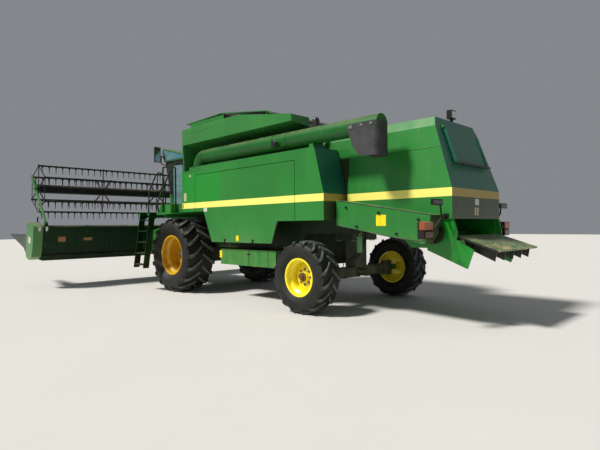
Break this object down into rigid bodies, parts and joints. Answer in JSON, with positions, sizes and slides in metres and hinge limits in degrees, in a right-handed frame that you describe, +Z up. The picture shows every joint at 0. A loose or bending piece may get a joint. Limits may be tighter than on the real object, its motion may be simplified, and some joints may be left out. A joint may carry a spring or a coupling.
{
  "type": "combine harvester",
  "caption": "Self-propelled grain harvester: raised cutting platform with tined reel, cab, grain tank with side unloading tube, side doors and a tapered straw hood over lugged tyres.",
  "frame": {"origin": "middle of the bounding box, on the ground that the wheels stand on", "axes": "+X forward along the travel direction, +Y to the machine's left, +Z up"},
  "size_m": [11.6233, 6.84, 3.674],
  "materials": {
    "black_paint": "satin",
    "bright_steel": "worn",
    "dark_green_paint": "dusty satin",
    "green_paint": "weathered gloss",
    "rubber": "matt",
    "tinted_glass": "clear",
    "trim": "matt",
    "tyre_rubber": "dusty matt",
    "yellow_paint": "gloss"
  },
  "bodies": {
    "machine": {"separator_body": "dark_green_paint", "front_axle": "dark_green_paint", "side_panels": "green_paint", "rear_hood": "green_paint", "chopper": "dark_green_paint", "tank_shell": "green_paint", "tank_cover": "green_paint", "auger_elbow": "green_paint", "cab_shell": "green_paint", "cab_glass": "tinted_glass", "cab_interior": "trim", "cab_seat": "trim", "platform": "green_paint", "handrails": "green_paint", "ladder": "dark_green_paint", "mirrors": "black_paint", "engine": "dark_green_paint", "engine_cover": "green_paint", "rear_axle": "dark_green_paint", "tow_clevis": "dark_green_paint", "lamps": "black_paint"},
    "steer_rod": {"tie_rod": "bright_steel"},
    "left_side_door": {"side_door_left": "green_paint"},
    "right_side_door": {"side_door_right": "green_paint"},
    "hatch": {"rear_hatch": "green_paint"},
    "board": {"spreader_board": "dark_green_paint"},
    "unloader": {"auger_tube": "green_paint", "auger_spout": "rubber"},
    "door": {"cab_door": "green_paint", "cab_door_glass": "tinted_glass"},
    "steer_left": {"knuckle_left": "dark_green_paint"},
    "steer_right": {"knuckle_right": "dark_green_paint"},
    "wheel_front_left": {"tyre_front_left": "tyre_rubber", "rim_front_left": "yellow_paint"},
    "wheel_front_right": {"tyre_front_right": "tyre_rubber", "rim_front_right": "yellow_paint"},
    "wheel_rear_left": {"tyre_rear_left": "tyre_rubber", "rim_rear_left": "yellow_paint"},
    "wheel_rear_right": {"tyre_rear_right": "tyre_rubber", "rim_rear_right": "yellow_paint"},
    "header": {"feeder_house": "green_paint", "header_frame": "dark_green_paint", "header_ends": "dark_green_paint", "cutter_bar": "bright_steel"},
    "table_auger": {"header_auger": "dark_green_paint"},
    "arms": {"reel_arms": "green_paint"},
    "reel": {"reel_frame": "black_paint"},
    "tine_bar_1": {"bat_1": "black_paint"},
    "tine_bar_2": {"bat_2": "black_paint"},
    "tine_bar_3": {"bat_3": "black_paint"},
    "tine_bar_4": {"bat_4": "black_paint"},
    "tine_bar_5": {"bat_5": "black_paint"},
    "tine_bar_6": {"bat_6": "black_paint"},
    "lift_barrel": {"lift_barrels": "black_paint"},
    "lift_rod": {"lift_rods": "bright_steel"},
    "reel_barrel": {"reel_lift_barrels": "black_paint"},
    "reel_rod": {"reel_lift_rods": "bright_steel"}
  },
  "joints": [
    {"name": "wheel_spin_front_left", "type": "hinge", "parent": "machine", "child": "wheel_front_left", "pos_m": [0.9158, 1.15, 0.785], "axis": [0, 1, 0], "continuous": true},
    {"name": "wheel_spin_front_right", "type": "hinge", "parent": "machine", "child": "wheel_front_right", "pos_m": [0.9158, -1.15, 0.785], "axis": [0, 1, 0], "continuous": true},
    {"name": "steering_left", "type": "hinge", "parent": "machine", "child": "steer_left", "pos_m": [-2.9842, 0.89, 0.575], "axis": [0, 0, 1], "range_deg": [-30, 30]},
    {"name": "steering_right", "type": "hinge", "parent": "machine", "child": "steer_right", "pos_m": [-2.9842, -0.89, 0.575], "axis": [0, 0, 1], "range_deg": [-30, 30]},
    {"name": "wheel_spin_rear_left", "type": "hinge", "parent": "steer_left", "child": "wheel_rear_left", "pos_m": [-2.9842, 1.28, 0.575], "axis": [0, 1, 0], "continuous": true},
    {"name": "wheel_spin_rear_right", "type": "hinge", "parent": "steer_right", "child": "wheel_rear_right", "pos_m": [-2.9842, -1.28, 0.575], "axis": [0, 1, 0], "continuous": true},
    {"name": "header_lift", "type": "hinge", "parent": "machine", "child": "header", "pos_m": [1.3658, 0, 1.35], "axis": [0, -1, 0], "range_deg": [-16, 2]},
    {"name": "table_auger_spin", "type": "hinge", "parent": "header", "child": "table_auger", "pos_m": [3.87772, 0, 1.05508], "axis": [0, 1, 0], "continuous": true},
    {"name": "reel_lift", "type": "hinge", "parent": "header", "child": "arms", "pos_m": [3.41791, 0, 1.4961], "axis": [0, -1, 0], "range_deg": [-30, 0]},
    {"name": "reel_spin", "type": "hinge", "parent": "arms", "child": "reel", "pos_m": [4.16734, 0, 2.32843], "axis": [0, 1, 0], "continuous": true},
    {"name": "tie_rod_slide", "type": "slide", "parent": "machine", "child": "steer_rod", "axis": [0, 1, 0], "range_m": [-0.07827, 0.07827]},
    {"name": "tine_bar_turn_1", "type": "hinge", "parent": "reel", "child": "tine_bar_1", "pos_m": [4.1194, 0, 2.87634], "axis": [0, 1, 0], "continuous": true},
    {"name": "tine_bar_turn_2", "type": "hinge", "parent": "reel", "child": "tine_bar_2", "pos_m": [3.66887, 0, 2.56087], "axis": [0, 1, 0], "continuous": true},
    {"name": "tine_bar_turn_3", "type": "hinge", "parent": "reel", "child": "tine_bar_3", "pos_m": [3.7168, 0, 2.01296], "axis": [0, 1, 0], "continuous": true},
    {"name": "tine_bar_turn_4", "type": "hinge", "parent": "reel", "child": "tine_bar_4", "pos_m": [4.21527, 0, 1.78052], "axis": [0, 1, 0], "continuous": true},
    {"name": "tine_bar_turn_5", "type": "hinge", "parent": "reel", "child": "tine_bar_5", "pos_m": [4.66581, 0, 2.09599], "axis": [0, 1, 0], "continuous": true},
    {"name": "tine_bar_turn_6", "type": "hinge", "parent": "reel", "child": "tine_bar_6", "pos_m": [4.61787, 0, 2.6439], "axis": [0, 1, 0], "continuous": true},
    {"name": "lift_barrel_swing", "type": "hinge", "parent": "machine", "child": "lift_barrel", "pos_m": [1.1658, 0, 0.62], "axis": [0, -1, 0], "range_deg": [-14.66, 1.83]},
    {"name": "lift_rod_slide", "type": "slide", "parent": "lift_barrel", "child": "lift_rod", "axis": [0.999, 0, 0.0437], "range_m": [-0.2101, 0.02626]},
    {"name": "reel_barrel_swing", "type": "hinge", "parent": "header", "child": "reel_barrel", "pos_m": [3.96956, 0, 1.29192], "axis": [0, -1, 0], "range_deg": [-17.21, 0.05]},
    {"name": "reel_rod_slide", "type": "slide", "parent": "reel_barrel", "child": "reel_rod", "axis": [-0.2015, 0, 0.9795], "range_m": [-0.28254, 0.0001]},
    {"name": "unloader_swing", "type": "hinge", "parent": "machine", "child": "unloader", "pos_m": [0.2358, 1.123, 2.7], "axis": [0, 0, -1], "range_deg": [0, 95]},
    {"name": "cab_door_swing", "type": "hinge", "parent": "machine", "child": "door", "pos_m": [1.3438, 0.842, 2.4], "axis": [0, 0, 1], "range_deg": [0, 80]},
    {"name": "side_door_left_swing", "type": "hinge", "parent": "machine", "child": "left_side_door", "pos_m": [-1.2542, 1.262, 2.447], "axis": [1, 0, 0], "range_deg": [0, 85]},
    {"name": "side_door_right_swing", "type": "hinge", "parent": "machine", "child": "right_side_door", "pos_m": [-1.2542, -1.262, 2.447], "axis": [-1, 0, 0], "range_deg": [0, 85]},
    {"name": "hatch_swing", "type": "hinge", "parent": "machine", "child": "hatch", "pos_m": [-4.94853, 0, 2.79], "axis": [0, 1, 0], "range_deg": [0, 80]},
    {"name": "spreader_board_tilt", "type": "hinge", "parent": "machine", "child": "board", "pos_m": [-5.2352, 0, 1.225], "axis": [0, 1, 0], "range_deg": [-10, 30]}
  ],
  "couplings": [
    {"joint": "steering_right", "follows": "steering_left", "ratio": 1},
    {"joint": "tie_rod_slide", "follows": "steering_left", "m_per_rad": 0.148},
    {"joint": "lift_barrel_swing", "follows": "header_lift", "ratio": 0.89851},
    {"joint": "lift_rod_slide", "follows": "header_lift", "m_per_rad": 0.73762},
    {"joint": "reel_barrel_swing", "follows": "reel_lift", "ratio": 0.56071},
    {"joint": "reel_rod_slide", "follows": "reel_lift", "m_per_rad": 0.52884},
    {"joint": "tine_bar_turn_1", "follows": "reel_spin", "ratio": -1},
    {"joint": "tine_bar_turn_2", "follows": "reel_spin", "ratio": -1},
    {"joint": "tine_bar_turn_3", "follows": "reel_spin", "ratio": -1},
    {"joint": "tine_bar_turn_4", "follows": "reel_spin", "ratio": -1},
    {"joint": "tine_bar_turn_5", "follows": "reel_spin", "ratio": -1},
    {"joint": "tine_bar_turn_6", "follows": "reel_spin", "ratio": -1}
  ]
}
